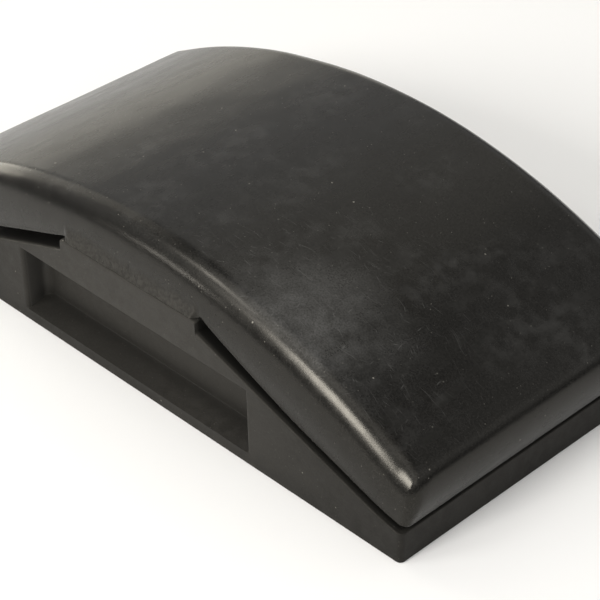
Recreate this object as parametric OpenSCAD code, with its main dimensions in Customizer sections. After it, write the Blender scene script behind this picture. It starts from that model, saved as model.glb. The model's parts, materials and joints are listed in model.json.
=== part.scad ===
// Rubber hand sanding block: a wedge-ended base, an arched cover whose two ends are flaps, and six
// nails that stand up in the slots and grip the paper when the flaps close on it.
// Frame: +X along the block, +Y across it, +Z up. The origin is the middle of the sole.

/* [Base] */
// Length of the base, end to end
base_l = 127; // [110:1:150]
// Width of the base, side to side
base_w = 70; // [60:1:80]
// Height of the base at its two end faces
end_h = 5.8; // [4:0.1:8]
// Height of the seam where the cover is bonded to the middle of the base
seam_z = 22.7; // [22:0.1:24]
// Slope of the long ramps that face the flaps, in degrees
ramp_angle = 18.4; // [17:0.1:19]
// Slope that the ramps flatten out to at the end faces, in degrees
toe_angle = 8.5; // [6:0.5:12]
// Radius of the curve between ramp and end face
toe_r = 45; // [30:1:60]
// Radius of the upright corners of the base
base_corner_r = 1; // [0.5:0.1:3]

/* [Finger recesses] */
// Length of the recess in each long side
recess_l = 57.4; // [40:0.1:60]
// Depth of the recess
recess_depth = 5; // [4.5:0.1:8]
// Height of the recess's upper edge above the sole
recess_top = 15.3; // [14:0.1:16]
// Height of the recess's lower lip above the sole
recess_lip = 2.3; // [1.5:0.1:4]
// Slope of the recess floor, in degrees
recess_floor_angle = 16; // [5:1:25]
// Radius between the recess floor and its back wall
recess_fillet_r = 3; // [1:0.1:4]

/* [Cover] */
// Height of the top of the arch above the sole
crown_h = 32.3; // [31:0.1:36]
// Radius of the arch
arch_r = 120; // [115:1:135]
// How far the cover's sides stand in from the sides of the base
side_inset = 1; // [0.2:0.1:2]
// How far the flaps' ends stand in from the ends of the base
end_inset = 0.3; // [0.2:0.1:2]
// Radius of the cover's long edges
edge_r = 5; // [1:0.1:6]
// Radius of the flaps' end edges
nose_r = 3.5; // [1:0.1:5]
// Radius of the flaps' upright corners
flap_corner_r = 2.5; // [1:0.1:5]

/* [Slots] */
// Distance from the middle of the block to the root of each slot
root_x = 17.3; // [15:0.1:22]
// Opening of the front slot at its root
front_root_gap = 2.9; // [2:0.1:3]
// Length over which the front slot narrows
front_taper = 24; // [15:1:46]
// Opening of the rear slot at its root
rear_root_gap = 2.4; // [2:0.1:3]
// Length over which the rear slot narrows
rear_taper = 46; // [15:1:46]
// Clearance left between a flap and the base past the narrowing
lip_gap = 0.45; // [0.3:0.05:1]
// How far the rear flap stands open at rest, in degrees
rear_lift = 1.3; // [0:0.1:3]

/* [Nails] */
// Distance of the nails from the middle of the block
nail_x = 48; // [42:1:52]
// Distance between neighbouring nails
nail_pitch = 22; // [15:1:25]
// Diameter of a nail's shank
nail_d = 1.8; // [1.2:0.1:2.2]
// Diameter of a nail's head
nail_head_d = 4.4; // [3:0.1:5]
// Thickness of a nail's head
nail_head_t = 0.8; // [0.5:0.1:1]
// Depth that a nail is moulded into the base
nail_bed = 6; // [5:0.1:7]
// Height that a nail stands out of the ramp
nail_out = 4; // [3:0.1:5]
// Length of a nail's point
nail_point = 2.4; // [1.5:0.1:3]
// Diameter of the socket in the flap that clears a nail
socket_d = 3.6; // [3.4:0.1:5]
// Room above a nail's point in its socket
socket_room = 0.6; // [0.3:0.1:1]

/* [Hidden] */

$fn = 48;
arc_steps = 8;                        // straight pieces in each drawn arc
over = 1;                             // how far a cutting shape runs past what it cuts
half_l = base_l / 2;
cover_w = base_w - 2 * side_inset;
arch_z = crown_h - arch_r;            // height of the arch's centre line
ring_t = 22;                          // depth of the ring that the cover is cut from
hinge_z = arch_z + sqrt(pow(arch_r, 2) - pow(root_x, 2));
taper_power = 1.5;                    // how quickly a slot narrows from its root

// Centre of the curve at the toe of the ramp, and the point where the ramp meets that curve
toe_cx = half_l + toe_r * sin(toe_angle);
toe_cz = end_h + toe_r * cos(toe_angle);
toe_x = toe_cx - toe_r * sin(ramp_angle);
toe_z = toe_cz - toe_r * cos(ramp_angle);

// Height of the ramp's surface at a distance x from the middle of the block
function floor_z(x) =
    x < toe_x
        ? toe_z + (toe_x - x) * tan(ramp_angle)
        : toe_cz - sqrt(pow(toe_r, 2) - pow(toe_cx - x, 2));

// Opening of a slot at a distance x from the middle of the block
function gap(x, root_gap, taper) =
    lip_gap + (root_gap - lip_gap) * pow(max(0, 1 - (x - root_x) / taper), taper_power);

// Points along an arc, from angle a0 to angle a1
function arc(cx, cy, r, a0, a1) =
    [for (i = [0:arc_steps]) let (a = a0 + (a1 - a0) * i / arc_steps) [cx + r * cos(a), cy + r * sin(a)]];

// Outline of a rectangle with round corners, centred on the origin
function rounded_outline(length, width, r) =
    let (x = length / 2 - r, y = width / 2 - r)
    concat(arc(x, y, r, 0, 90), arc(-x, y, r, 90, 180), arc(-x, -y, r, 180, 270), arc(x, -y, r, 270, 360));

// Ramp of the base from the root of the slot to the end face
ramp_points = concat(
    [[root_x, floor_z(root_x)]],
    [for (i = [0:arc_steps]) let (x = toe_x + (half_l - toe_x) * i / arc_steps) [x, floor_z(x)]]
);

// Stands a side profile, drawn in X and Z, across the block
module across(width) {
    rotate([90, 0, 0])
        linear_extrude(height = width, center = true)
            children();
}

// Upright prism with round corners
module upright(length, width, r) {
    translate([0, 0, -over])
        linear_extrude(height = crown_h + 2 * over)
            polygon(rounded_outline(length, width, r));
}

// One nail, point up, with the ramp's surface at z = 0
module nail_shape() {
    translate([0, 0, -nail_bed])
        cylinder(h = nail_head_t, d = nail_head_d);
    translate([0, 0, nail_head_t - nail_bed])
        cylinder(h = nail_bed + nail_out - nail_point - nail_head_t, d = nail_d);
    translate([0, 0, nail_out - nail_point])
        cylinder(h = nail_point, d1 = nail_d, d2 = nail_d / 8);
}

// Puts its children where a nail of the front end stands; row is -1, 0 or 1
module at_front_nail(row) {
    translate([nail_x, row * nail_pitch, floor_z(nail_x)])
        rotate([0, ramp_angle, 0])
            children();
}

// The same at either end; end is 1 at the front and -1 at the rear
module at_nail(end, row) {
    if (end > 0)
        at_front_nail(row) children();
    else
        mirror([1, 0, 0]) at_front_nail(row) children();
}

// Section of a finger recess, drawn outwards from its back wall
module recess_section() {
    rise = recess_depth * tan(recess_floor_angle);
    reach = recess_fillet_r * tan((90 - recess_floor_angle) / 2);
    polygon(concat(
        [[recess_depth + over, recess_top], [0, recess_top]],
        arc(recess_fillet_r, recess_lip + rise + reach, recess_fillet_r, 180, 270 - recess_floor_angle),
        [[recess_depth, recess_lip], [recess_depth + over, recess_lip]]
    ));
}

// Space of the finger recess in the +Y side
module recess_space() {
    translate([-recess_l / 2, base_w / 2 - recess_depth, 0])
        rotate([90, 0, 90])
            linear_extrude(height = recess_l)
                recess_section();
}

// Base: sole, ramps, middle block, finger recesses and the beds of the nails
module base() {
    right_side = concat(ramp_points, [[half_l, 0]]);
    left_side = [for (i = [len(right_side) - 1:-1:0]) [-right_side[i][0], right_side[i][1]]];
    color([0.13, 0.13, 0.12])
        difference() {
            intersection() {
                across(base_w)
                    polygon(concat([[root_x, seam_z]], right_side, left_side, [[-root_x, seam_z]]));
                upright(base_l, base_w, base_corner_r);
            }
            recess_space();
            mirror([0, 1, 0])
                recess_space();
            for (end = [-1, 1])
                for (row = [-1, 0, 1])
                    at_nail(end, row)
                        nail_shape();
        }
}

// Arched stock of the cover with its long edges rounded
module arch_stock() {
    y = cover_w / 2 - edge_r;
    translate([0, 0, arch_z])
        rotate([90, 0, 0])
            rotate_extrude($fn = 180)
                polygon(concat(
                    [[arch_r - ring_t, -cover_w / 2]],
                    arc(arch_r - edge_r, -y, edge_r, -90, 0),
                    arc(arch_r - edge_r, y, edge_r, 0, 90),
                    [[arch_r - ring_t, cover_w / 2]]
                ));
}

// Crown: the part of the cover between the slots, bonded to the base
module crown() {
    color([0.1, 0.1, 0.09])
        intersection() {
            arch_stock();
            translate([-root_x, -base_w / 2, seam_z])
                cube([2 * root_x, base_w, crown_h]);
        }
}

// Cuts the square corner off the end of a flap and leaves a round nose
module nose_cut(end_x) {
    nose_x = end_x - nose_r;
    nose_z = arch_z + sqrt(pow(arch_r - nose_r, 2) - pow(nose_x, 2)) + nose_r / 24;
    lean = atan2(nose_x, nose_z - arch_z);
    across(base_w)
        difference() {
            polygon([
                [nose_x, nose_z],
                [nose_x + 3 * nose_r * sin(lean), nose_z + 3 * nose_r * cos(lean)],
                [end_x + 3 * nose_r, nose_z + nose_r],
                [end_x + 3 * nose_r, nose_z]
            ]);
            translate([nose_x, nose_z])
                circle(r = nose_r);
        }
}

// A flap of the front end, lying flat; shorten makes it end that much sooner
module flap_shape(root_gap, taper, shorten) {
    end_x = half_l - end_inset - shorten;
    steps = 3 * arc_steps;
    underside = [
        for (i = [0:steps]) let (x = root_x + (end_x - root_x) * i / steps)
            [x, floor_z(x) + gap(x, root_gap, taper)]
    ];
    difference() {
        intersection() {
            arch_stock();
            across(base_w)
                polygon(concat([[root_x, crown_h + over]], underside, [[end_x, crown_h + over]]));
            upright(2 * end_x, cover_w, flap_corner_r);
        }
        nose_cut(end_x);
        for (row = [-1, 0, 1])
            at_front_nail(row)
                translate([0, 0, -over])
                    cylinder(h = over + nail_out + socket_room, d = socket_d);
    }
}

// Front flap, closed on the base
module front_flap() {
    color([0.1, 0.1, 0.09])
        flap_shape(front_root_gap, front_taper, 0);
}

// Rear flap, which stands open by rear_lift about the top of its root
module rear_flap() {
    overhang = (hinge_z - end_h) * sin(rear_lift);
    color([0.1, 0.1, 0.09])
        translate([-root_x, 0, hinge_z])
            rotate([0, rear_lift, 0])
                translate([root_x, 0, -hinge_z])
                    mirror([1, 0, 0])
                        flap_shape(rear_root_gap, rear_taper, overhang);
}

// A nail at one end of the block
module nail(end, row) {
    color([0.6, 0.6, 0.62])
        at_nail(end, row)
            nail_shape();
}

base();
crown();
front_flap();
rear_flap();
nail(1, -1);  // front_nail_right
nail(1, 0);  // front_nail_middle
nail(1, 1);  // front_nail_left
nail(-1, -1);  // rear_nail_right
nail(-1, 0);  // rear_nail_middle
nail(-1, 1);  // rear_nail_left
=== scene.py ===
"""Rubber sanding block: a wedge-ended base, an arched cover with two flaps, and six nails in the slots."""
import json
import math

import bpy
import numpy as np
from mathutils import Matrix, Vector, noise


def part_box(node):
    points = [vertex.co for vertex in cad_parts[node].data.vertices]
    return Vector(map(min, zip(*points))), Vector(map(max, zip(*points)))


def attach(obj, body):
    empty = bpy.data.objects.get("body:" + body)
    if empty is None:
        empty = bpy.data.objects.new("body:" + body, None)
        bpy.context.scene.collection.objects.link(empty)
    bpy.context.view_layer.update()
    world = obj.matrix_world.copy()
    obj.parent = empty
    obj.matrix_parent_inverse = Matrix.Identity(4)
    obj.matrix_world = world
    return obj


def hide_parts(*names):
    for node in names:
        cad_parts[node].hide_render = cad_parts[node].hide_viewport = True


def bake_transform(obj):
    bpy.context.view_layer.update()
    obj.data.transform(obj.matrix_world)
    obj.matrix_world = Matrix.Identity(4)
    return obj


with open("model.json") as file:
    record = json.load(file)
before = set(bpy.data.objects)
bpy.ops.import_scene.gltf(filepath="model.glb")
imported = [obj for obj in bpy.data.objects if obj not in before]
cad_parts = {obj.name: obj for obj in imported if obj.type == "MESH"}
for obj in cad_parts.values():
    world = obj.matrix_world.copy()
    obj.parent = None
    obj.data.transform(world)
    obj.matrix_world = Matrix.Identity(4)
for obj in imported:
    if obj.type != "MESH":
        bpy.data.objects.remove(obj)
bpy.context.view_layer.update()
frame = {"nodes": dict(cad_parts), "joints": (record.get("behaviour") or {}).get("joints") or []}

# ---------------------------------------------------------------- sizes, in millimetres
MM = 0.001


def high_corner(node):
    """The highest corner of a CAD node's box, in millimetres."""
    return np.array(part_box(node)[1]) / MM


front_joint, rear_joint = frame["joints"]
HALF_L, HALF_W, SEAM_Z = high_corner("base")
COVER_HALF_W = high_corner("crown")[1]
FLAP_END = high_corner("front_flap")[0]
ROOT_X = front_joint["pos_m"][0] / MM
HINGE_Z = front_joint["pos_m"][2] / MM
REAR_LIFT = math.radians(-rear_joint["range_deg"][0])

# Arch of the cover: its radius and the height of its centre
ARCH_R = 120.0
ARCH_Z = HINGE_Z - math.sqrt(ARCH_R ** 2 - ROOT_X ** 2)

# Ramps of the base: a straight slope, then a curve that flattens towards the end face
END_H = 5.8
RAMP_ANGLE = math.radians(18.4)
TOE_ANGLE = math.radians(8.5)
TOE_R = 45.0
TOE_CENTRE_X = HALF_L + TOE_R * math.sin(TOE_ANGLE)
TOE_CENTRE_Z = END_H + TOE_R * math.cos(TOE_ANGLE)
TOE_X = TOE_CENTRE_X - TOE_R * math.sin(RAMP_ANGLE)
TOE_Z = TOE_CENTRE_Z - TOE_R * math.cos(RAMP_ANGLE)
BASE_CORNER_R = 1.0
BASE_EDGE_R = 0.15
RAMP_EDGE_R = 0.35
# Step between the seam and the ramp: its rounded edge, and how far its lines spread along the side
STEP_EDGE_R = 0.3
STEP_SPREAD = 2.5

# Finger recesses; the rim is the rounded edge at their ends
RECESS_HALF_L = 28.7
RECESS_DEPTH = 5.0
RECESS_TOP = 15.3
RECESS_LIP = 2.3
RECESS_SLOPE = math.radians(16)
RECESS_FILLET_R = 0.12
RECESS_CORNER_R = 1.6
RECESS_RIM_R = 0.9
# Painted shade along the inner corner of a recess: its height and depth, and how dark it is
CORNER_SHADE_H = 2.2
CORNER_SHADE_D = 2.4
CORNER_SHADE = 0.45

# Cover: the long edges and the flaps' noses are rounded by an ellipse, so far in and so far down
EDGE_IN = 5.2
EDGE_DOWN = 8.6
NOSE_IN = 3.8
NOSE_DOWN = 5.4
# The flaps' end faces lean outwards towards the top
END_LEAN = math.tan(math.radians(17))
# Round the corner of a flap one rounding passes into the other over this width
NOSE_BLEND = 8
HEM_R = 0.2
# Upright corners of the flaps, at the lip and at the top
CORNER_R_LOW = 1.4
CORNER_R_HIGH = 3.2
# Slots: opening at the root, length over which they narrow, and opening at the lip
FRONT_ROOT_GAP = 2.9
FRONT_TAPER = 24.0
REAR_ROOT_GAP = 2.4
REAR_TAPER = 46.0
LIP_GAP = 0.45
# The rear flap is shorter: it stands a little open, and its leaning end face stays over the base
REAR_INSET = 1.3
REAR_SHORTER = (HINGE_Z - END_H) * math.sin(REAR_LIFT) + REAR_INSET
# Stretch over which a flap bends
BEND_FROM = ROOT_X - 1.5
BEND_TO = ROOT_X + 12.0
# Slow and quick waves of the moulded top: height, width and seed
WAVES = ((0.05, 14, 3), (0.02, 4.5, 4))
# Bead along the lower edge of a flap: height over the edge, width and how far it stands out
BEAD_Z = 0.45
BEAD_W = 0.25
BEAD_PROUD = 0.08

# Rough band where the cover was bonded to the base and trimmed, with a fin of rubber at its rear ends
BAND_TOP = 25.7
BAND_PROUD = 0.9
RAGGED_SIZE = 2.3
CRUMB_SIZE = 0.9
FIN_PROUD = 0.35
FIN_W = 0.16

# Seeds of the rough band's noise
FRONT_SEED = 1
REAR_SEED = 2

# Edges that turn more than this many degrees stay sharp
CREASE = 38

# Middle of the patch of the front flap that is scuffed pale
RUBBED_PLACE = (35.0, -28.0, 28.0)
# Layers of scratches on the cover: length and spacing in millimetres, turn in degrees, share of places, shift
SCRATCHES = (
    (14, 0.42, 4, 0.75, 1.3), (10, 0.34, -6, 0.75, 5.1), (8, 0.38, 13, 0.65, 9.7), (6, 0.45, -14, 0.5, 12.4),
    (5, 0.5, -34, 0.3, 17.9), (4, 0.5, 24, 0.35, 23.3), (5, 0.7, 78, 0.2, 14.2))
# Tint of the rubber's reflections, and the index of refraction of its two grades
RUBBER_SHEEN = (1.0, 0.955, 0.86, 1)
COVER_IOR = 1.39
BASE_IOR = 1.32

# Sockets in the flaps, with a widened mouth
NAIL_X = 48.0
NAIL_PITCH = 22.0
SOCKET_R = 1.8
SOCKET_DEPTH = 4.6
SOCKET_SIDES = 28
# Cutter rings: depth into the flap and radius
SOCKET_RINGS = (
    (-1.5, SOCKET_R + 0.25), (0.75, SOCKET_R), (SOCKET_DEPTH - 0.5, SOCKET_R), (SOCKET_DEPTH, SOCKET_R - 0.5))

# Camera: angles in degrees, distances in millimetres
CAMERA_TURN = 43.4033
CAMERA_RISE = 35.4593
CAMERA_ROLL = -1.2555
CAMERA_DISTANCE = 357.11
CAMERA_TARGET = (17.104, -11.219, 15.0)
CAMERA_LENS = 126.2436
CAMERA_SENSOR = 36

# Studio: brightness of the surroundings near the horizon, at middle height and overhead
WORLD_LOW = 0.12
WORLD_HIGH = 0.68
WORLD_TOP = 0.2
# Floor: half its width, and how far it lies under the sole
FLOOR_HALF_W = 3000
FLOOR_GAP = 0.1
# Colours of the lights in front of the block and behind it, and their distance from it in metres
WARM = (1.0, 0.975, 0.93)
WARM_BACK = (1.0, 0.955, 0.84)
LIGHT_DISTANCE = 1.0
# Soft lights: azimuth from +X towards +Y and elevation in degrees, width and height in metres, watts, colour
LIGHTS = {
    "key": (268, 28, 0.28, 0.3, 6.2, WARM),
    "key_side": (249, 31, 0.2, 0.2, 0.4, WARM),
    "high_glint": (238, 46, 0.22, 0.14, 0.9, WARM),
    "low_strip": (236, 12, 0.16, 0.05, 0.42, WARM),
    "high_fill": (255, 66, 0.6, 0.5, 1.2, WARM),
    "front_fill": (335, 45, 1.0, 0.8, 2.8, WARM),
    "back_low": (180, 8, 0.55, 0.4, 4.0, WARM_BACK),
    "back_high": (180, 34, 0.55, 0.7, 1.0, WARM_BACK),
    "far_low": (146, 5, 0.7, 0.35, 0.9, WARM_BACK),
    "far_high": (118, 56, 0.5, 0.5, 0.25, WARM_BACK),
}


def smooth(t):
    """Smooth step from 0 to 1 while t goes from 0 to 1."""
    t = np.clip(t, 0, 1)
    return t * t * (3 - 2 * t)


def ramp_z(x):
    """Height of the ramp at a distance x from the middle of the block."""
    x = np.minimum(np.abs(x), HALF_L)
    straight = TOE_Z + (TOE_X - x) * math.tan(RAMP_ANGLE)
    curved = TOE_CENTRE_Z - np.sqrt(TOE_R ** 2 - np.clip(TOE_CENTRE_X - x, 0, TOE_R) ** 2)
    return np.where(x < TOE_X, straight, curved)


def roughness(points, size, seed):
    """Smooth noise from -1 to 1 at each point; size is the width of its lumps in millimetres."""
    shift = Vector((seed * 17.3, seed * 5.1, seed * 9.7))
    return np.array([noise.noise(Vector(p) / size + shift) for p in points])


# ---------------------------------------------------------------- mesh tools
def box_shell(nx, ny, nz, flat_start=False):
    """Grid places on the outside of a box of nx x ny x nz cells, and its faces, facing out.
    With flat_start the first end is one face with many corners."""
    number = {}

    def at(i, j, k):
        return number.setdefault((i, j, k), len(number))

    quads = []
    for i in range(nx):
        for j in range(ny):
            quads.append((at(i, j, 0), at(i, j + 1, 0), at(i + 1, j + 1, 0), at(i + 1, j, 0)))
            quads.append((at(i, j, nz), at(i + 1, j, nz), at(i + 1, j + 1, nz), at(i, j + 1, nz)))
        for k in range(nz):
            quads.append((at(i, 0, k), at(i + 1, 0, k), at(i + 1, 0, k + 1), at(i, 0, k + 1)))
            quads.append((at(i, ny, k), at(i, ny, k + 1), at(i + 1, ny, k + 1), at(i + 1, ny, k)))
    for j in range(ny):
        for k in range(nz):
            quads.append((at(nx, j, k), at(nx, j + 1, k), at(nx, j + 1, k + 1), at(nx, j, k + 1)))
            if not flat_start:
                quads.append((at(0, j, k), at(0, j, k + 1), at(0, j + 1, k + 1), at(0, j + 1, k)))
    if flat_start:
        rim = [(0, k) for k in range(nz)] + [(j, nz) for j in range(ny)]
        rim += [(ny, k) for k in range(nz, 0, -1)] + [(j, 0) for j in range(ny, 0, -1)]
        quads.append(tuple(at(0, j, k) for j, k in rim))
    return np.array(list(number)), quads


def make_mesh(name, points, faces):
    """A smooth-shaded object from points in millimetres."""
    mesh = bpy.data.meshes.new(name)
    mesh.from_pydata([tuple(p) for p in np.asarray(points) * MM], [], faces)
    mesh.validate()
    mesh.update()
    mesh.shade_smooth()
    mesh.set_sharp_from_angle(angle=math.radians(CREASE))
    obj = bpy.data.objects.new(name, mesh)
    bpy.context.scene.collection.objects.link(obj)
    return obj


def points_of(obj):
    """The object's points, in millimetres, one row each."""
    flat = np.zeros(len(obj.data.vertices) * 3, np.float32)
    obj.data.vertices.foreach_get("co", flat)
    return flat.reshape(-1, 3).astype(float) / MM


def keep_on_points(obj, name, values):
    """Stores a number or a vector on each point for the materials."""
    vectors = values.ndim == 2
    kind, field = ("FLOAT_VECTOR", "vector") if vectors else ("FLOAT", "value")
    store = obj.data.attributes.new(name, kind, "POINT")
    store.data.foreach_set(field, values.astype(np.float32).ravel())


def facing_of(obj):
    """The direction that each point of the object faces."""
    return np.array([v.normal for v in obj.data.vertices])


def keep_rest(obj):
    """Stores where each point is and which way it faces, for the materials' patterns."""
    keep_on_points(obj, "rest", points_of(obj))
    keep_on_points(obj, "facing", facing_of(obj))


def spaced(start, stop, step):
    """Even steps from start up to, not including, stop."""
    count = max(1, round((stop - start) / step))
    return [start + (stop - start) * i / count for i in range(count)]


# ---------------------------------------------------------------- base
def recess_rows():
    """Heights up a long side with the depth of the recess at each, from the sole to just over the recess."""
    rows = [(z, 0.0) for z in (0, 0.05, 0.13, 0.25, 0.45, 0.8, 1.2, 1.6, 1.95, 2.2)]
    floor_reach = RECESS_DEPTH - RECESS_FILLET_R + RECESS_FILLET_R * math.sin(RECESS_SLOPE)
    for i in range(8):
        depth = floor_reach * i / 8
        rows.append((RECESS_LIP + depth * math.tan(RECESS_SLOPE), depth))
    rise = RECESS_DEPTH * math.tan(RECESS_SLOPE)
    centre_z = RECESS_LIP + rise + RECESS_FILLET_R * math.tan(math.pi / 4 - RECESS_SLOPE / 2)
    for i in range(4):
        a = math.radians(270) - RECESS_SLOPE - (math.radians(90) - RECESS_SLOPE) * i / 3
        away = RECESS_FILLET_R + RECESS_FILLET_R * math.cos(a)
        rows.append((centre_z + RECESS_FILLET_R * math.sin(a), RECESS_DEPTH - away))
    for z in spaced(centre_z, RECESS_TOP - 0.4, 0.6)[1:]:
        rows.append((z, RECESS_DEPTH))
    for below, depth in ((0.4, 1), (0.1, 1), (0.05, 0.8), (0.03, 0.55), (0.02, 0.3), (0, 0.07)):
        rows.append((RECESS_TOP - below, RECESS_DEPTH * depth))
    return rows + [(RECESS_TOP + 0.1, 0.04), (RECESS_TOP + 0.3, 0.0)]


def base_stations():
    """Places along +X as (x low on the side, x at the top, height of the top)."""
    stations = []
    first, last = ROOT_X - STEP_SPREAD, ROOT_X + STEP_SPREAD
    for x in spaced(0, first, 0.9):
        stations.append((x, x, SEAM_Z))
    step = [(ROOT_X - 1.2, SEAM_Z), (ROOT_X - 0.6, SEAM_Z), (ROOT_X - STEP_EDGE_R, SEAM_Z)]
    for degrees in (30, 60, 90):
        a = math.radians(degrees)
        step.append((ROOT_X + STEP_EDGE_R * (math.sin(a) - 1), SEAM_Z + STEP_EDGE_R * (math.cos(a) - 1)))
    low = ramp_z(ROOT_X)
    for up in (1.4, 0.9, 0.5):
        step.append((ROOT_X, low + up))
    for out, up in ((0.04, 0.25), (0.15, 0.08), (0.4, 0.0)):
        step.append((ROOT_X + out, ramp_z(ROOT_X + out) + up))
    for i, (x, z) in enumerate(step):
        stations.append((first + (last - first) * (i + 1) / (len(step) + 1), x, z))
    for x in spaced(last, RECESS_HALF_L - 2, 0.9):
        stations.append((x, x, ramp_z(x)))
    inner = [2.0, 1.5, 1.05, 0.75, 0.5, 0.3, 0.17, 0.09, 0.06, 0.05, 0.04, 0.02, 0]
    inner += [-RECESS_RIM_R * share for share in (0.04, 0.12, 0.25, 0.45, 0.7, 1)]
    for back in inner:
        x = RECESS_HALF_L - back
        stations.append((x, x, ramp_z(x)))
    for x in spaced(RECESS_HALF_L + 1, HALF_L - 2, 1.2):
        stations.append((x, x, ramp_z(x)))
    for back in (2, 1.5, 1.0, 0.8, 0.6, 0.42, 0.28, 0.16, 0.08, 0.03, 0):
        x = HALF_L - back
        stations.append((x, x, ramp_z(x)))
    return stations


def wall_depth(x):
    """Depth that the end wall of the recess allows at x: 0 outside it, the full depth inside."""
    inside = RECESS_HALF_L - abs(x)
    if inside <= 0:
        return float(rounding(-inside, RECESS_RIM_R))
    upright = 0.05
    if inside < upright:
        return RECESS_RIM_R + (RECESS_DEPTH - RECESS_CORNER_R - RECESS_RIM_R) * inside / upright
    t = min(1.0, (inside - upright) / RECESS_CORNER_R)
    return RECESS_DEPTH - RECESS_CORNER_R + RECESS_CORNER_R * math.sqrt(1 - (1 - t) ** 2)


def rounding(distance, radius):
    """How far a rounded edge stands back at a distance from the edge's own face."""
    t = np.clip(1 - distance / radius, 0, 1)
    return radius * (1 - np.sqrt(1 - t * t))


def make_base():
    """The base: stations along the block, each with the rows of the recess and then of the wall over it."""
    half = base_stations()
    stations = [(-low, -x, z) for low, x, z in reversed(half[1:])] + half
    rows = recess_rows()
    top_rows = [0, 0.25, 0.5, 0.72, 0.86, 0.93, 0.97, 0.99, 1]
    width = [0, 0.03, 0.1, 0.25, 0.5, 0.9, 1.5, 2.3] + spaced(3.3, HALF_W, 1.5)[:-1]
    across = [-HALF_W + w for w in width] + [0.0] + [HALF_W - w for w in reversed(width)]
    rows_full_at = ramp_z(RECESS_HALF_L + 1)
    rows_end = rows[-1][0]
    places, quads = box_shell(len(stations) - 1, len(across) - 1, len(rows) + len(top_rows) - 2)
    points = np.zeros((len(places), 3))
    for number, (i, j, k) in enumerate(places):
        low_x, top_x, top_z = stations[i]
        squeeze = min(1.0, top_z / rows_full_at)
        if k < len(rows):
            z = rows[k][0] * squeeze
            depth = min(rows[k][1], wall_depth(top_x if abs(top_x) > ROOT_X + 4 else 0))
        else:
            up = top_rows[k - len(rows) + 1]
            z = rows_end * squeeze + up * (top_z - rows_end * squeeze)
            depth = 0.0
        near_step = abs(top_x) < ROOT_X + 3
        climb = max(0.1, min(top_z, SEAM_Z) - rows_end - 0.5)
        lean = float(smooth((z - rows_end) / climb)) if near_step else 1
        x = low_x + (top_x - low_x) * lean
        to_end = HALF_L - abs(x)
        drop = rounding(to_end, BASE_EDGE_R)
        side = HALF_W - rounding(to_end, BASE_CORNER_R) - depth
        side -= rounding(z, BASE_EDGE_R) + rounding(top_z - z, RAMP_EDGE_R)
        z = drop + z * (top_z - 2 * drop) / top_z
        points[number] = (x, across[j] / HALF_W * side, z)
    return make_mesh("rubber_base", points, quads)


def slot_shade(points):
    """Painted shade: 1 on the part of the ramps that the flaps cover, 0 elsewhere."""
    x, y, z = points.T
    on_ramp = smooth((z - ramp_z(x) + 0.4) / 0.3) * smooth((np.abs(x) - ROOT_X + 0.2) / 0.3)
    return on_ramp * smooth((HALF_W - 0.5 - np.abs(y)) / 0.5) * smooth((FLAP_END - 0.3 - np.abs(x)) / 0.6)


def corner_shade(points):
    """Painted shade in the inner corner at the foot of a recess wall, fading over a few millimetres."""
    x, y, z = points.T
    corner_z = RECESS_LIP + RECESS_DEPTH * math.tan(RECESS_SLOPE)
    away = np.hypot((z - corner_z) / CORNER_SHADE_H, (HALF_W - RECESS_DEPTH - np.abs(y)) / CORNER_SHADE_D)
    inside = smooth((HALF_W - 0.6 - np.abs(y)) / 1.5) * (np.abs(x) < RECESS_HALF_L + 0.1)
    return CORNER_SHADE * np.exp(-away ** 2) * inside


def end_wall_shade(points, facing):
    """Painted light: 1 on the upright walls at the two ends of a recess, which are painted paler."""
    inside = (np.abs(points[:, 0]) < RECESS_HALF_L + 0.1) & (points[:, 2] < RECESS_TOP + 0.1)
    return inside * smooth((np.abs(facing[:, 0]) - 0.5) / 0.4)


# ---------------------------------------------------------------- cover
def under_z(x, root_gap, taper):
    """Height of a flap's underside over the sole; over the middle block it is the seam."""
    gap = LIP_GAP + (root_gap - LIP_GAP) * np.clip(1 - (x - ROOT_X) / taper, 0, None) ** 1.5
    return SEAM_Z + (ramp_z(np.maximum(x, ROOT_X)) + gap - SEAM_Z) * np.clip((x - ROOT_X + 0.1) / 0.3, 0, 1)


def meet(a, b, radius):
    """Distance field of two surfaces that meet in a rounded edge."""
    inside = np.minimum(np.maximum(a, b), -radius)
    return inside + np.hypot(np.maximum(a + radius, 0), np.maximum(b + radius, 0))


def cover_field(points, root_gap, taper, end_x):
    """Negative inside the front half of the cover, zero on its surface."""
    x, y, z = points.T
    over = np.hypot(x, z - ARCH_Z) - ARCH_R
    side = np.abs(y) - COVER_HALF_W
    end = x - end_x - END_LEAN * (z - END_H)
    end_top = ARCH_Z + math.sqrt(ARCH_R ** 2 - end_x ** 2)
    up = smooth((z - END_H - 0.5) / (end_top - END_H - 3))
    corner_r = CORNER_R_LOW + (CORNER_R_HIGH - CORNER_R_LOW) * up
    plan = meet(side, end, corner_r)
    at_edge = smooth((side - end) / NOSE_BLEND + 0.5)
    reach_in = NOSE_IN + (EDGE_IN - NOSE_IN) * at_edge
    reach_down = NOSE_DOWN + (EDGE_DOWN - NOSE_DOWN) * at_edge
    body = reach_in * meet(over / reach_down, plan / reach_in, 1.0)
    under = (under_z(x, root_gap, taper) - z) * math.cos(RAMP_ANGLE)
    return meet(body, under, HEM_R)


def settle(points, field, rounds=10):
    """Moves points onto the surface where the field is zero; returns them with the outward direction."""
    step = 0.01
    moved = points.copy()
    for _ in range(rounds):
        value = field(moved)
        slope = np.zeros_like(moved)
        for axis in range(3):
            nudge = np.zeros(3)
            nudge[axis] = step
            slope[:, axis] = (field(moved + nudge) - field(moved - nudge)) / (2 * step)
        size = np.maximum((slope ** 2).sum(1), 0.2)
        moved -= slope * np.clip(value / size, -1.5, 1.5)[:, None]
    return moved, slope / np.linalg.norm(slope, axis=1)[:, None]


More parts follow.
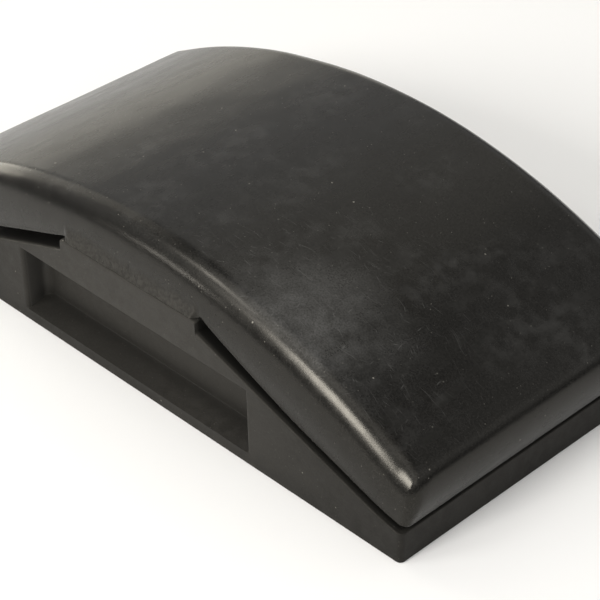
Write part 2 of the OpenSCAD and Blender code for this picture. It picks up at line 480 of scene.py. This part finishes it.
def band_share(points, seed):
    """1 in the rough trimmed band over the seam, 0 outside it."""
    x, y, z = points.T
    ragged = roughness(points * (1, 0, 1), RAGGED_SIZE, seed)
    inside = smooth((BAND_TOP + 0.7 * ragged - z) / 1.8) * smooth((ROOT_X - 0.1 - np.abs(x)) / 1.4)
    return inside * smooth((np.abs(y) - COVER_HALF_W + 4) / 3.5)


def band_shift(points, seed):
    """How far the rough band stands out from the cover's side."""
    up = np.clip((points[:, 2] - SEAM_Z) / (BAND_TOP - SEAM_Z), 0, 1)
    ragged = roughness(points * (1, 0, 1), RAGGED_SIZE, seed)
    crumbs = roughness(points, CRUMB_SIZE, seed + 1)
    lean = BAND_PROUD * (1 - up) ** 1.8
    rough = (0.14 * ragged + 0.12 * crumbs) * (1 - up)
    fin = 0.0
    if seed == REAR_SEED:
        fin = FIN_PROUD * np.exp(-((np.abs(points[:, 0]) - ROOT_X + 0.4) / FIN_W) ** 2)
    return band_share(points, seed) * (lean + rough + fin)


def hem_bead(points, out, root_gap, taper):
    """How far the fine bead along a flap's lower edge stands out."""
    x, _, z = points.T
    up = z - under_z(x, root_gap, taper)
    upright = smooth((0.5 - np.abs(out[:, 2])) / 0.3) * smooth((x - ROOT_X - 1) / 2)
    return upright * BEAD_PROUD * np.exp(-((up - BEAD_Z) / BEAD_W) ** 2)


def socket_cutter(row):
    """Round cutter for the socket that clears a nail."""
    points = []
    for depth, r in SOCKET_RINGS:
        for s in range(SOCKET_SIDES):
            a = 2 * math.pi * s / SOCKET_SIDES
            points.append((r * math.cos(a), r * math.sin(a), depth))
    last = len(points) - SOCKET_SIDES
    faces = [tuple(reversed(range(SOCKET_SIDES))), tuple(range(last, last + SOCKET_SIDES))]
    for first in range(0, last, SOCKET_SIDES):
        for s in range(SOCKET_SIDES):
            a, b = first + s, first + (s + 1) % SOCKET_SIDES
            faces.append((a, b, b + SOCKET_SIDES, a + SOCKET_SIDES))
    tilt = np.array(Matrix.Rotation(RAMP_ANGLE, 3, "Y"))
    placed = np.array(points) @ tilt.T + (NAIL_X, row * NAIL_PITCH, float(ramp_z(NAIL_X)))
    return make_mesh("socket_cutter", placed, faces)


def cut(obj, cutters):
    """Takes the cutters out of the object and deletes them."""
    for cutter in cutters:
        tool = obj.modifiers.new("cut", "BOOLEAN")
        tool.object = cutter
        tool.solver = "EXACT"
    graph = bpy.context.evaluated_depsgraph_get()
    mesh = bpy.data.meshes.new_from_object(obj.evaluated_get(graph))
    obj.modifiers.clear()
    obj.data = mesh
    for cutter in cutters:
        bpy.data.objects.remove(cutter)
    mesh.set_sharp_from_angle(angle=math.radians(CREASE))


def turn_to_rear(obj, lift):
    """Opens the flap by lift, in radians, and mirrors the half of the cover to the rear of the block."""
    p = points_of(obj)
    turn = lift * smooth((p[:, 0] - BEND_FROM) / (BEND_TO - BEND_FROM))
    dx, dz = p[:, 0] - ROOT_X, p[:, 2] - HINGE_Z
    p[:, 0] = ROOT_X + dx * np.cos(turn) - dz * np.sin(turn)
    p[:, 2] = HINGE_Z + dx * np.sin(turn) + dz * np.cos(turn)
    obj.data.vertices.foreach_set("co", (p * MM).astype(np.float32).ravel())
    obj.data.transform(Matrix.Scale(-1, 4, (1, 0, 0)))
    obj.data.flip_normals()
    obj.data.update()


def make_cover_half(name, root_gap, taper, end_x, seed):
    """Half of the cover, from the middle of the block to the end of a closed flap."""
    nose_from = end_x - 6
    flat_half_w = COVER_HALF_W - 6.6
    along = [0, 0.04] + spaced(0, ROOT_X - 2, 0.5)[1:] + spaced(ROOT_X - 2, ROOT_X + 1.5, 0.25)
    along += spaced(ROOT_X + 1.5, nose_from, 0.75) + spaced(nose_from, end_x, 0.35) + [end_x]
    edge = spaced(COVER_HALF_W, flat_half_w, -0.41)
    across = [-y for y in edge] + spaced(-flat_half_w, flat_half_w, 1.1) + [flat_half_w]
    across += list(reversed(edge[:-1]))
    up = [0, 0.008, 0.018, 0.03, 0.044, 0.06, 0.08, 0.103] + spaced(0.13, 1, 0.036) + [1]
    places, quads = box_shell(len(along) - 1, len(across) - 1, len(up) - 1, flat_start=True)
    x = np.array(along)[places[:, 0]]
    y = np.array(across)[places[:, 1]]
    low = under_z(x, root_gap, taper)
    high = ARCH_Z + np.sqrt(ARCH_R ** 2 - x ** 2)
    z = low + np.array(up)[places[:, 2]] * (high - low)
    points = np.stack([x, y, z], axis=1)
    skin, out = settle(points, lambda p: cover_field(p, root_gap, taper, end_x))
    skin[:, 1] += np.sign(skin[:, 1]) * band_shift(skin, seed)
    skin += out * hem_bead(skin, out, root_gap, taper)[:, None]
    waves = sum(height * roughness(skin, width, wave_seed) for height, width, wave_seed in WAVES)
    on_top = smooth((skin[:, 2] - 24 + np.abs(skin[:, 0]) * 0.3) / 3)
    skin += out * (waves * on_top)[:, None]
    skin[:, 0] = np.where(places[:, 0] == 0, 0, skin[:, 0])
    obj = make_mesh(name, skin, quads)
    cut(obj, [socket_cutter(row) for row in (-1, 0, 1)])
    return obj


# ---------------------------------------------------------------- materials
def add(tree, kind, inputs=None, **settings):
    """Adds a node to a material; its inputs are plain values or the outputs of other nodes."""
    node = tree.nodes.new(kind)
    for name, value in settings.items():
        setattr(node, name, value)
    for name, value in (inputs or {}).items():
        if isinstance(value, bpy.types.NodeSocket):
            tree.links.new(value, node.inputs[name])
        else:
            node.inputs[name].default_value = value
    return node


def stored(tree, name):
    """A value kept on the points of the mesh."""
    node = add(tree, "ShaderNodeAttribute", attribute_name=name)
    return node.outputs["Vector"] if name in ("rest", "facing") else node.outputs["Fac"]


def maths(tree, kind, a, b=0.0):
    """One step of arithmetic on one or two values."""
    return add(tree, "ShaderNodeMath", {0: a, 1: b}, operation=kind).outputs[0]


def lumps(tree, where, size, detail=3.0, stretch=(1, 1, 1), shift=0.0):
    """Cloudy noise from 0 to 1 with lumps about size millimetres wide."""
    scale = tuple(1 / (size * s) for s in stretch)
    place = {"Vector": where, "Scale": scale, "Location": (shift, -shift, shift)}
    placed = add(tree, "ShaderNodeMapping", place).outputs[0]
    return add(tree, "ShaderNodeTexNoise", {"Vector": placed, "Scale": 1.0, "Detail": detail}).outputs[0]


def between(tree, value, low, high, to_low=0.0, to_high=1.0):
    """Maps low..high smoothly to to_low..to_high."""
    inputs = {"Value": value, "From Min": low, "From Max": high, "To Min": to_low, "To Max": to_high}
    return add(tree, "ShaderNodeMapRange", inputs, interpolation_type="SMOOTHSTEP").outputs[0]


def mixed(tree, share, a, b):
    """Blend of two colours; share 0 gives a."""
    return add(tree, "ShaderNodeMixRGB", {"Fac": share, "Color1": a, "Color2": b}).outputs[0]


def marks(tree, where, size, turn=0.0, share=0.5, reach=0.15, shift=0.0):
    """Separate strokes or dots, 0 to 1, one in some of the cells of the given size; turn is in degrees."""
    turned = add(tree, "ShaderNodeVectorRotate", {"Vector": where, "Angle": math.radians(turn)})
    scale = tuple(1 / s for s in size)
    place = {"Vector": turned.outputs[0], "Scale": scale, "Location": (shift, shift, shift)}
    placed = add(tree, "ShaderNodeMapping", place).outputs[0]
    cells = add(tree, "ShaderNodeTexVoronoi", {"Vector": placed, "Scale": 1.0})
    stroke = between(tree, cells.outputs["Distance"], reach * 0.4, reach, 1.0, 0.0)
    pick = add(tree, "ShaderNodeSeparateColor", {"Color": cells.outputs["Color"]})
    chosen = maths(tree, "LESS_THAN", pick.outputs[0], share)
    strength = between(tree, pick.outputs[1], 0.0, 1.0, 0.2, 1.0)
    return times(tree, times(tree, stroke, chosen), strength)


def wavering(tree, where, by):
    """The place pushed about by slow noise, so that straight strokes come out slightly bent."""
    wander = add(tree, "ShaderNodeTexNoise", {"Vector": where, "Scale": 0.1, "Detail": 1.0}).outputs[1]
    inputs = {0: wander, 1: (by, by, 0), 2: where}
    return add(tree, "ShaderNodeVectorMath", inputs, operation="MULTIPLY_ADD").outputs[0]


def times(tree, a, b):
    """Product of two values."""
    return maths(tree, "MULTIPLY", a, b)


def together(tree, values):
    """Sum of several values, held to 0..1."""
    total = values[0]
    for value in values[1:]:
        total = maths(tree, "ADD", total, value)
    return add(tree, "ShaderNodeClamp", {"Value": total}).outputs[0]


def new_material(name):
    """A material with its node tree and its shader."""
    material = bpy.data.materials.new(name)
    material.use_nodes = True
    return material, material.node_tree, material.node_tree.nodes["Principled BSDF"]


def bumped(tree, shader, heights):
    """Stacks bumps on the shader; each is a height from 0 to 1 and its depth in millimetres."""
    below = None
    for height, depth in heights:
        inputs = {"Height": height, "Distance": depth * MM, "Strength": 1.0}
        if below is not None:
            inputs["Normal"] = below
        below = add(tree, "ShaderNodeBump", inputs).outputs[0]
    tree.links.new(below, shader.inputs["Normal"])


def rgb(r, g, b):
    """An opaque colour."""
    return (r, g, b, 1)


def cover_material():
    """Satin black rubber with grain, haze, a scuffed patch, fine scratches and dust."""
    material, tree, shader = new_material("cover_rubber")
    deep_black = rgb(0.0012, 0.0012, 0.0011)
    worn_black = rgb(0.0125, 0.0120, 0.0111)
    haze_grey = rgb(0.09, 0.0895, 0.0875)
    scratch_grey = rgb(0.085, 0.085, 0.082)
    trimmed_black = rgb(0.021, 0.0200, 0.0178)
    dust_grey = rgb(0.25, 0.24, 0.21)

    # The top faces up; the rounded edge along it lies between the top and the sides
    where = stored(tree, "rest")
    facing_up = add(tree, "ShaderNodeSeparateXYZ", {0: stored(tree, "facing")}).outputs[2]
    on_top = between(tree, facing_up, 0.55, 0.9)
    below_top = between(tree, facing_up, 0.8, 0.9, 1.0, 0.0)
    on_edge = times(tree, between(tree, facing_up, 0.2, 0.4), below_top)
    cloud = lumps(tree, where, 15, 5, (0.8, 1.4, 1))
    mottle = lumps(tree, where, 2.8, 3.0, shift=3.0)
    grain = lumps(tree, where, 0.3, 2, shift=7.0)
    streaks = lumps(tree, where, 3.2, 5, (0.8, 3.5, 1), shift=11.0)

    # Thin haze over the top, and in it the scuffed patch with a ragged outline
    measure = add(tree, "ShaderNodeVectorMath", {0: where, 1: RUBBED_PLACE}, operation="DISTANCE")
    away = measure.outputs["Value"]
    near = between(tree, maths(tree, "ADD", away, times(tree, cloud, 30.0)), 15.0, 37.0, 1.0, 0.0)
    patch = times(tree, near, between(tree, mottle, 0.2, 0.8, 0.5, 1.0))
    patch = times(tree, patch, between(tree, grain, 0.15, 0.85, 0.35, 1.0))
    haze = times(tree, between(tree, cloud, 0.42, 0.7), between(tree, mottle, 0.35, 0.7))
    haze = together(tree, [times(tree, haze, 0.2), patch])
    haze = times(tree, haze, on_top)

    # Scratches on the top, fainter away from the scuffed patch
    bent = wavering(tree, where, 5.0)
    scratches = [marks(tree, bent, (length, width, 80), turn, share, 0.17, shift)
                 for length, width, turn, share, shift in SCRATCHES]
    worn = between(tree, maths(tree, "ADD", away, times(tree, cloud, 20.0)), 20.0, 48.0, 1.0, 0.08)
    scratch = times(tree, times(tree, together(tree, scratches), on_top), worn)

    # Large and small specks of dust, and the crumbs of the rough band over the seam
    dust = together(tree, [
        marks(tree, where, (1.5, 1.5, 1.5), 0, 0.05, 0.14, 2.2),
        times(tree, marks(tree, where, (0.8, 0.8, 0.8), 0, 0.2, 0.17, 8.8), 0.35),
    ])
    band = stored(tree, "band")
    crumbs = lumps(tree, where, 0.6, 4, shift=21.0)
    pale_crumbs = times(tree, band, between(tree, crumbs, 0.35, 0.65))

    # Colour, from the rubber itself up to the dust on it
    colour = mixed(tree, between(tree, grain, 0.2, 0.8), deep_black, worn_black)
    colour = mixed(tree, haze, colour, haze_grey)
    colour = mixed(tree, times(tree, scratch, 0.75), colour, scratch_grey)
    colour = mixed(tree, pale_crumbs, colour, trimmed_black)
    colour = mixed(tree, dust, colour, dust_grey)
    tree.links.new(colour, shader.inputs["Base Color"])

    # Gloss: streaky, duller in the haze, the band and the dust, glossier on the rounded edge
    rough = maths(tree, "ADD", between(tree, streaks, 0.25, 0.75, 0.235, 0.295), times(tree, haze, 0.12))
    rough = maths(tree, "SUBTRACT", rough, times(tree, on_edge, 0.03))
    rough = maths(tree, "ADD", rough, maths(tree, "ADD", times(tree, band, 0.3), times(tree, dust, 0.4)))
    tree.links.new(rough, shader.inputs["Roughness"])
    shader.inputs["Specular Tint"].default_value = RUBBER_SHEEN
    shader.inputs["IOR"].default_value = COVER_IOR
    rough_band = times(tree, band, crumbs)
    bumped(tree, shader, [(streaks, 0.007), (grain, 0.006), (scratch, 0.004), (rough_band, 0.12)])
    return material


def base_material():
    """Duller black rubber with specks of dust; painted light round its middle and on the recess end walls,
    and painted shade towards the sole, in the recess corners and in the slots where no light reaches.
    """
    material, tree, shader = new_material("base_rubber")
    deep_black = rgb(0.0062, 0.0059, 0.0053)
    worn_black = rgb(0.0115, 0.0109, 0.0098)
    painted_light_dim = rgb(0.016, 0.0152, 0.0136)
    painted_light_bright = rgb(0.034, 0.0323, 0.029)
    haze_grey = rgb(0.034, 0.0325, 0.0295)
    speck_grey = rgb(0.2, 0.19, 0.17)
    end_wall_painted_dark = rgb(0.03, 0.029, 0.027)
    end_wall_painted_pale = rgb(0.05, 0.048, 0.044)
    corner_painted_shade_black = rgb(0.0025, 0.0025, 0.0024)
    slot_painted_shade_black = rgb(0.0065, 0.0063, 0.0058)
    slot_roughness = rgb(0.45, 0.45, 0.45)

    # Painted light round the middle of the block, fading towards the ends, and painted shade towards the
    # sole; specks of dust over it all
    where = stored(tree, "rest")
    place = add(tree, "ShaderNodeSeparateXYZ", {0: where})
    along = maths(tree, "ABSOLUTE", place.outputs[0])
    cloud = lumps(tree, where, 14, 5)
    mottle = lumps(tree, where, 1.8, 4, shift=4.0)
    grain = lumps(tree, where, 0.3, 2, shift=9.0)
    haze = times(tree, between(tree, cloud, 0.38, 0.7), between(tree, mottle, 0.3, 0.75))
    painted_sole_shade = between(tree, place.outputs[2], 1.0, 6.0, 0.25, 1.0)
    painted_light_middle = times(tree, between(tree, along, 8, 58, 1.0, 0.1), painted_sole_shade)
    specks = together(tree, [
        marks(tree, where, (1.5, 1.5, 1.5), 0, 0.06, 0.13, 3.1),
        times(tree, marks(tree, where, (0.8, 0.8, 0.8), 0, 0.2, 0.17, 6.4), 0.3),
    ])

    # Colour, from the rubber itself through the painted light round the middle, haze and specks up to the
    # painted light on the recess end walls and the painted shade in the corners and slots
    painted_slot_shade = stored(tree, "painted_slot_shade")
    wall = mixed(tree, mottle, end_wall_painted_dark, end_wall_painted_pale)
    colour = mixed(tree, between(tree, grain, 0.35, 0.7), deep_black, worn_black)
    # Painted light: paler round the middle, fading towards the ends, with painted shade near the sole
    colour = mixed(tree, painted_light_middle, colour, mixed(tree, grain, painted_light_dim, painted_light_bright))
    colour = mixed(tree, times(tree, haze, 0.5), colour, haze_grey)
    colour = mixed(tree, times(tree, specks, 0.8), colour, speck_grey)
    # Painted light: the recess end walls are painted paler than the rest of the base
    colour = mixed(tree, stored(tree, "end_wall_painted_light"), colour, wall)
    # Painted shade: the inner corners of the recesses are painted nearly black
    colour = mixed(tree, stored(tree, "corner"), colour, corner_painted_shade_black)
    # Painted shade: the ramps under the flaps are painted nearly black
    colour = mixed(tree, painted_slot_shade, colour, slot_painted_shade_black)
    tree.links.new(colour, shader.inputs["Base Color"])
    rough = mixed(tree, painted_slot_shade, between(tree, mottle, 0.3, 0.7, 0.56, 0.66), slot_roughness)
    tree.links.new(rough, shader.inputs["Roughness"])
    shader.inputs["Specular Tint"].default_value = RUBBER_SHEEN
    shader.inputs["IOR"].default_value = BASE_IOR
    bumped(tree, shader, [(cloud, 0.05), (mottle, 0.012), (grain, 0.01)])
    return material


def nail_material():
    """Drawn steel wire with a few dull spots."""
    material, tree, shader = new_material("nail_steel")
    dark_steel = rgb(0.42, 0.42, 0.42)
    pale_steel = rgb(0.62, 0.61, 0.59)
    dull_brown = rgb(0.20, 0.15, 0.11)
    place = add(tree, "ShaderNodeTexCoord").outputs["Object"]
    where = add(tree, "ShaderNodeVectorMath", {0: place, "Scale": 1 / MM}, operation="SCALE").outputs[0]
    drawn = lumps(tree, where, 0.25, 3, (1, 1, 14))
    spots = lumps(tree, where, 0.9, 4, shift=5.0)
    dull = between(tree, spots, 0.52, 0.7)
    colour = mixed(tree, times(tree, dull, 0.6), mixed(tree, drawn, dark_steel, pale_steel), dull_brown)
    tree.links.new(colour, shader.inputs["Base Color"])
    rough = maths(tree, "ADD", between(tree, drawn, 0.3, 0.7, 0.26, 0.38), times(tree, dull, 0.25))
    tree.links.new(rough, shader.inputs["Roughness"])
    shader.inputs["Metallic"].default_value = 1.0
    bumped(tree, shader, [(drawn, 0.01), (spots, 0.02)])
    return material


def floor_material():
    """Pale matt floor that is clear from below, so that it doesn't hide the sole."""
    material, tree, shader = new_material("floor_white")
    where = add(tree, "ShaderNodeTexCoord").outputs["Object"]
    tone = add(tree, "ShaderNodeTexNoise", {"Vector": where, "Scale": 6.0, "Detail": 3.0}).outputs[0]
    pale = mixed(tree, tone, rgb(0.93, 0.93, 0.93), rgb(0.95, 0.95, 0.95))
    tree.links.new(pale, shader.inputs["Base Color"])
    shader.inputs["Roughness"].default_value = 0.8
    clear = add(tree, "ShaderNodeBsdfTransparent").outputs[0]
    back = add(tree, "ShaderNodeNewGeometry").outputs["Backfacing"]
    either = add(tree, "ShaderNodeMixShader", {0: back, 1: shader.outputs[0], 2: clear})
    tree.links.new(either.outputs[0], tree.nodes["Material Output"].inputs["Surface"])
    return material


# ---------------------------------------------------------------- camera
def make_camera():
    """Camera that looks down on the front right corner of the block."""
    turn = math.radians(CAMERA_TURN)
    rise = math.radians(CAMERA_RISE)
    roll = math.radians(CAMERA_ROLL)
    back = Vector((math.cos(rise) * math.cos(turn), -math.cos(rise) * math.sin(turn), math.sin(rise)))
    level = (-back).cross(Vector((0, 0, 1))).normalized()
    upright = level.cross(-back)
    right = level * math.cos(roll) + upright * math.sin(roll)
    top = upright * math.cos(roll) - level * math.sin(roll)
    data = bpy.data.cameras.new("camera")
    data.sensor_width = CAMERA_SENSOR
    data.lens = CAMERA_LENS
    data.clip_start = 0.01
    camera = bpy.data.objects.new("camera", data)
    bpy.context.scene.collection.objects.link(camera)
    turned = Matrix((right, top, back)).transposed().to_4x4()
    place = (Vector(CAMERA_TARGET) + back * CAMERA_DISTANCE) * MM
    camera.matrix_world = Matrix.Translation(place) @ turned
    bpy.context.scene.camera = camera


# ---------------------------------------------------------------- lights, floor and surroundings
def soft_light(name, azimuth, elevation, width, height, power, colour):
    """Rectangular soft light that faces the block."""
    data = bpy.data.lights.new(name, "AREA")
    data.shape = "RECTANGLE"
    data.size = width
    data.size_y = height
    data.energy = power
    data.color = colour
    light = bpy.data.objects.new(name, data)
    bpy.context.scene.collection.objects.link(light)
    a, e = math.radians(azimuth), math.radians(elevation)
    towards = Vector((math.cos(e) * math.cos(a), math.cos(e) * math.sin(a), math.sin(e)))
    light.location = towards * LIGHT_DISTANCE
    light.rotation_euler = towards.to_track_quat("Z", "Y").to_euler()


def make_floor():
    """Pale floor just under the sole."""
    corners = [(-1, -1, 0), (1, -1, 0), (1, 1, 0), (-1, 1, 0)]
    floor = make_mesh("floor", np.array(corners) * FLOOR_HALF_W, [(0, 1, 2, 3)])
    floor.location.z = -FLOOR_GAP * MM
    floor.data.materials.append(floor_material())


def make_world():
    """Surroundings that are dim near the horizon, brightest at middle height and dimmer again overhead."""
    world = bpy.data.worlds.new("studio")
    bpy.context.scene.world = world
    world.use_nodes = True
    sky = world.node_tree
    direction = add(sky, "ShaderNodeTexCoord").outputs["Generated"]
    height = add(sky, "ShaderNodeSeparateXYZ", {0: direction}).outputs[2]
    background = sky.nodes["Background"]
    background.inputs["Color"].default_value = rgb(1, 1, 1)
    rise = between(sky, height, 0.1, 0.5, WORLD_LOW, WORLD_HIGH)
    fall = between(sky, height, 0.6, 0.85, 0.0, WORLD_HIGH - WORLD_TOP)
    sky.links.new(maths(sky, "SUBTRACT", rise, fall), background.inputs["Strength"])


# ---------------------------------------------------------------- the block
make_camera()
base = make_base()
front = make_cover_half("front_cover_half", FRONT_ROOT_GAP, FRONT_TAPER, FLAP_END, FRONT_SEED)
rear = make_cover_half("rear_cover_half", REAR_ROOT_GAP, REAR_TAPER, FLAP_END - REAR_SHORTER, REAR_SEED)
turn_to_rear(rear, REAR_LIFT)
for piece in (base, front, rear):
    keep_rest(piece)
# Masks of the painted shade in the slots and the recess corners, and of the painted light on the recess end
# walls
keep_on_points(base, "painted_slot_shade", slot_shade(points_of(base)))
keep_on_points(base, "corner", corner_shade(points_of(base)))
keep_on_points(base, "end_wall_painted_light", end_wall_shade(points_of(base), facing_of(base)))
keep_on_points(front, "band", band_share(points_of(front), FRONT_SEED))
keep_on_points(rear, "band", band_share(points_of(rear) * (-1, 1, 1), REAR_SEED))

base_rubber = base_material()
cover_rubber = cover_material()
steel = nail_material()
for piece, material in ((base, base_rubber), (front, cover_rubber), (rear, cover_rubber)):
    piece.data.materials.clear()
    piece.data.materials.append(material)
for name, node in frame["nodes"].items():
    if "nail" in name:
        node.data.materials.clear()
        node.data.materials.append(steel)

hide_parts("base")
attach(base, "block")
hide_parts("crown", "front_flap")
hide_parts("crown", "rear_flap")
for half, body, side in ((front, "front_flap", 1), (rear, "rear_flap", -1)):
    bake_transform(half)

make_floor()
make_world()
for name, values in LIGHTS.items():
    soft_light(name, *values)
bpy.context.scene.view_settings.view_transform = "Standard"
